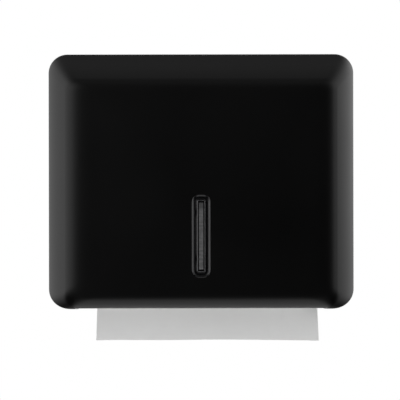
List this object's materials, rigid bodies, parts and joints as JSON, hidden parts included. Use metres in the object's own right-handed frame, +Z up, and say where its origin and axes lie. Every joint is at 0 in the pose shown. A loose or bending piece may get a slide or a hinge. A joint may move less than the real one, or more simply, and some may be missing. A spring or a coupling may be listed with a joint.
{
  "type": "multifold towel dispenser",
  "caption": "Wall-mounted folded paper towel dispenser: drop-down black cover with a sight window and top lock over a magazine with a bottom outlet, on a back plate.",
  "frame": {"origin": "centre of the four wall screws, on the wall plane", "axes": "+X to the right seen from the front, +Y into the wall, +Z up"},
  "size_m": [0.314, 0.1054, 0.2889],
  "materials": {
    "cover_plastic": "satin, fine grain",
    "chassis_plastic": "matt",
    "magazine_plastic": "matt",
    "smoked_lens": "clear smoke tint, polished",
    "zinc_steel": "zinc plated",
    "black_nickel": "black nickel plated",
    "paper": "uncoated embossed tissue"
  },
  "bodies": {
    "chassis": {"back_plate": "chassis_plastic", "left_side_guide": "magazine_plastic", "right_side_guide": "magazine_plastic", "outlet_tray": "magazine_plastic", "guide_screws": "zinc_steel", "tray_screws": "zinc_steel", "lock_striker": "zinc_steel", "striker_screws": "zinc_steel", "left_hinge_pin": "zinc_steel", "right_hinge_pin": "zinc_steel"},
    "cover": {"front_cover": "cover_plastic", "window_lens": "smoked_lens", "lens_push_nuts": "zinc_steel", "lock_barrel": "black_nickel", "lock_washer": "zinc_steel", "lock_nut": "zinc_steel"},
    "lock": {"lock_plug": "black_nickel", "lock_cam": "zinc_steel", "cam_washer": "zinc_steel", "cam_screw": "zinc_steel"},
    "stack": {"towel_stack": "paper"},
    "towel": {"hanging_towel": "paper"}
  },
  "joints": [
    {"name": "cover_swing", "type": "hinge", "parent": "chassis", "child": "cover", "pos_m": [0, -0.02, -0.122], "axis": [1, 0, 0], "range_deg": [0, 95]},
    {"name": "lock_turn", "type": "hinge", "parent": "cover", "child": "lock", "pos_m": [0, -0.027, 0.12793], "axis": [0, 0.1187, -0.9929], "range_deg": [0, 90]},
    {"name": "stack_lift", "type": "slide", "parent": "chassis", "child": "stack", "axis": [0, 0, 1], "range_m": [0, 0.06]},
    {"name": "towel_pull", "type": "slide", "parent": "chassis", "child": "towel", "axis": [0, -0.5963, -0.8027], "range_m": [0, 0.04]}
  ]
}
